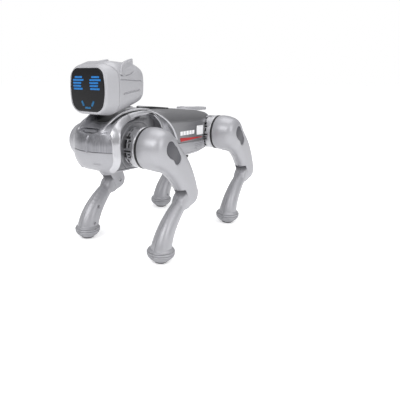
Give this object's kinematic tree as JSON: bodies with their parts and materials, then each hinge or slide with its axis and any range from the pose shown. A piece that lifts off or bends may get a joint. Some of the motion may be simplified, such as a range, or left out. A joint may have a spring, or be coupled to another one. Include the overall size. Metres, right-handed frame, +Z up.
{
  "type": "robot dog toy",
  "caption": "Robot dog toy with a turning screen-faced head, swinging jointed legs, a touch pad on its back and a tail blade.",
  "frame": {"origin": "on the floor under the middle of the dog's bounding box", "axes": "+Z up, -Y towards the nose, +X towards the dog's own left side"},
  "size_m": [0.178, 0.331, 0.2695],
  "materials": {
    "leg_shell": "satin light grey moulded plastic",
    "silver_shell": "satin silver-grey moulded plastic",
    "flank_silver": "silver plastic with fine moulded grooves",
    "dark_metallic": "plastic with a dark brushed metallic paint",
    "chrome_trim": "plastic with a bright vacuum-plated coat",
    "recess_grey": "dark grey recess",
    "machined_silver": "metallic silver hip ring",
    "black_rubber": "black rubber",
    "inlay_grey": "dark grey textured inlay",
    "steel": "turned steel",
    "black_lens": "polished black screen",
    "display_board": "display board with blue light bars",
    "board_green": "green circuit board",
    "black_plastic": "black moulded plastic",
    "frame_plastic": "grey structural plastic",
    "battery_wrap": "blue shrink-wrapped cells"
  },
  "bodies": {
    "torso": {"arch_trims": "chrome_trim", "back_shell": "dark_metallic", "battery_cover": "flank_silver", "battery_pack": "battery_wrap", "belly_cover": "flank_silver", "charge_port": "black_plastic", "chassis_frame": "frame_plastic", "chest_lower_shell": "silver_shell", "chest_upper_cover": "dark_metallic", "circuit_board": "board_green", "flank_panels": "flank_silver", "hip_housings": "machined_silver", "hip_seals": "black_rubber", "neck_collar": "chrome_trim", "rear_end_cap": "silver_shell", "recess_panels": "recess_grey", "servo_motors": "black_plastic", "speaker": "black_plastic", "tail_blade": "silver_shell"},
    "head": {"head_front_shell": "silver_shell", "head_rear_shell": "silver_shell", "screen_lens": "black_lens", "face_display": "display_board", "ears": "silver_shell", "neck_shaft": "steel"},
    "thigh_front_left": {"thigh_outer_front_left": "leg_shell", "thigh_inner_front_left": "leg_shell", "thigh_inlay_front_left": "inlay_grey", "hip_shaft_front_left": "steel", "knee_pin_front_left": "steel"},
    "shank_front_left": {"shank_outer_front_left": "leg_shell", "shank_inner_front_left": "leg_shell", "foot_sole_front_left": "black_rubber"},
    "thigh_front_right": {"thigh_outer_front_right": "leg_shell", "thigh_inner_front_right": "leg_shell", "thigh_inlay_front_right": "inlay_grey", "hip_shaft_front_right": "steel", "knee_pin_front_right": "steel"},
    "shank_front_right": {"shank_outer_front_right": "leg_shell", "shank_inner_front_right": "leg_shell", "foot_sole_front_right": "black_rubber"},
    "thigh_rear_left": {"thigh_outer_rear_left": "leg_shell", "thigh_inner_rear_left": "leg_shell", "thigh_inlay_rear_left": "inlay_grey", "hip_shaft_rear_left": "steel", "knee_pin_rear_left": "steel"},
    "shank_rear_left": {"shank_outer_rear_left": "leg_shell", "shank_inner_rear_left": "leg_shell", "foot_sole_rear_left": "black_rubber"},
    "thigh_rear_right": {"thigh_outer_rear_right": "leg_shell", "thigh_inner_rear_right": "leg_shell", "thigh_inlay_rear_right": "inlay_grey", "hip_shaft_rear_right": "steel", "knee_pin_rear_right": "steel"},
    "shank_rear_right": {"shank_outer_rear_right": "leg_shell", "shank_inner_rear_right": "leg_shell", "foot_sole_rear_right": "black_rubber"},
    "switch_slider": {"power_switch": "black_plastic"},
    "touch_pad": {"touch_button": "black_plastic"}
  },
  "joints": [
    {"name": "head_turn", "type": "hinge", "parent": "torso", "child": "head", "pos_m": [0, -0.094, 0.205], "axis": [0, 0, 1], "range_deg": [-60, 60]},
    {"name": "hip_front_left", "type": "hinge", "parent": "torso", "child": "thigh_front_left", "pos_m": [0.047, -0.1025, 0.153], "axis": [1, 0, 0], "range_deg": [-45, 45], "stiffness_Nm_per_rad": 15},
    {"name": "knee_front_left", "type": "hinge", "parent": "thigh_front_left", "child": "shank_front_left", "pos_m": [0.071, -0.0405, 0.0805], "axis": [1, 0, 0], "range_deg": [-20, 45], "stiffness_Nm_per_rad": 15},
    {"name": "hip_front_right", "type": "hinge", "parent": "torso", "child": "thigh_front_right", "pos_m": [-0.047, -0.1025, 0.153], "axis": [1, 0, 0], "range_deg": [-45, 45], "stiffness_Nm_per_rad": 15},
    {"name": "knee_front_right", "type": "hinge", "parent": "thigh_front_right", "child": "shank_front_right", "pos_m": [-0.071, -0.0405, 0.0805], "axis": [1, 0, 0], "range_deg": [-20, 45], "stiffness_Nm_per_rad": 15},
    {"name": "hip_rear_left", "type": "hinge", "parent": "torso", "child": "thigh_rear_left", "pos_m": [0.047, 0.0875, 0.153], "axis": [1, 0, 0], "range_deg": [-45, 45], "stiffness_Nm_per_rad": 15},
    {"name": "knee_rear_left", "type": "hinge", "parent": "thigh_rear_left", "child": "shank_rear_left", "pos_m": [0.071, 0.1495, 0.0805], "axis": [1, 0, 0], "range_deg": [-20, 45], "stiffness_Nm_per_rad": 15},
    {"name": "hip_rear_right", "type": "hinge", "parent": "torso", "child": "thigh_rear_right", "pos_m": [-0.047, 0.0875, 0.153], "axis": [1, 0, 0], "range_deg": [-45, 45], "stiffness_Nm_per_rad": 15},
    {"name": "knee_rear_right", "type": "hinge", "parent": "thigh_rear_right", "child": "shank_rear_right", "pos_m": [-0.071, 0.1495, 0.0805], "axis": [1, 0, 0], "range_deg": [-20, 45], "stiffness_Nm_per_rad": 15},
    {"name": "power_switch_slide", "type": "slide", "parent": "torso", "child": "switch_slider", "axis": [0, 1, 0], "range_m": [0, 0.004]},
    {"name": "touch_press", "type": "slide", "parent": "torso", "child": "touch_pad", "axis": [0, 0, -1], "range_m": [0, 0.001]}
  ]
}
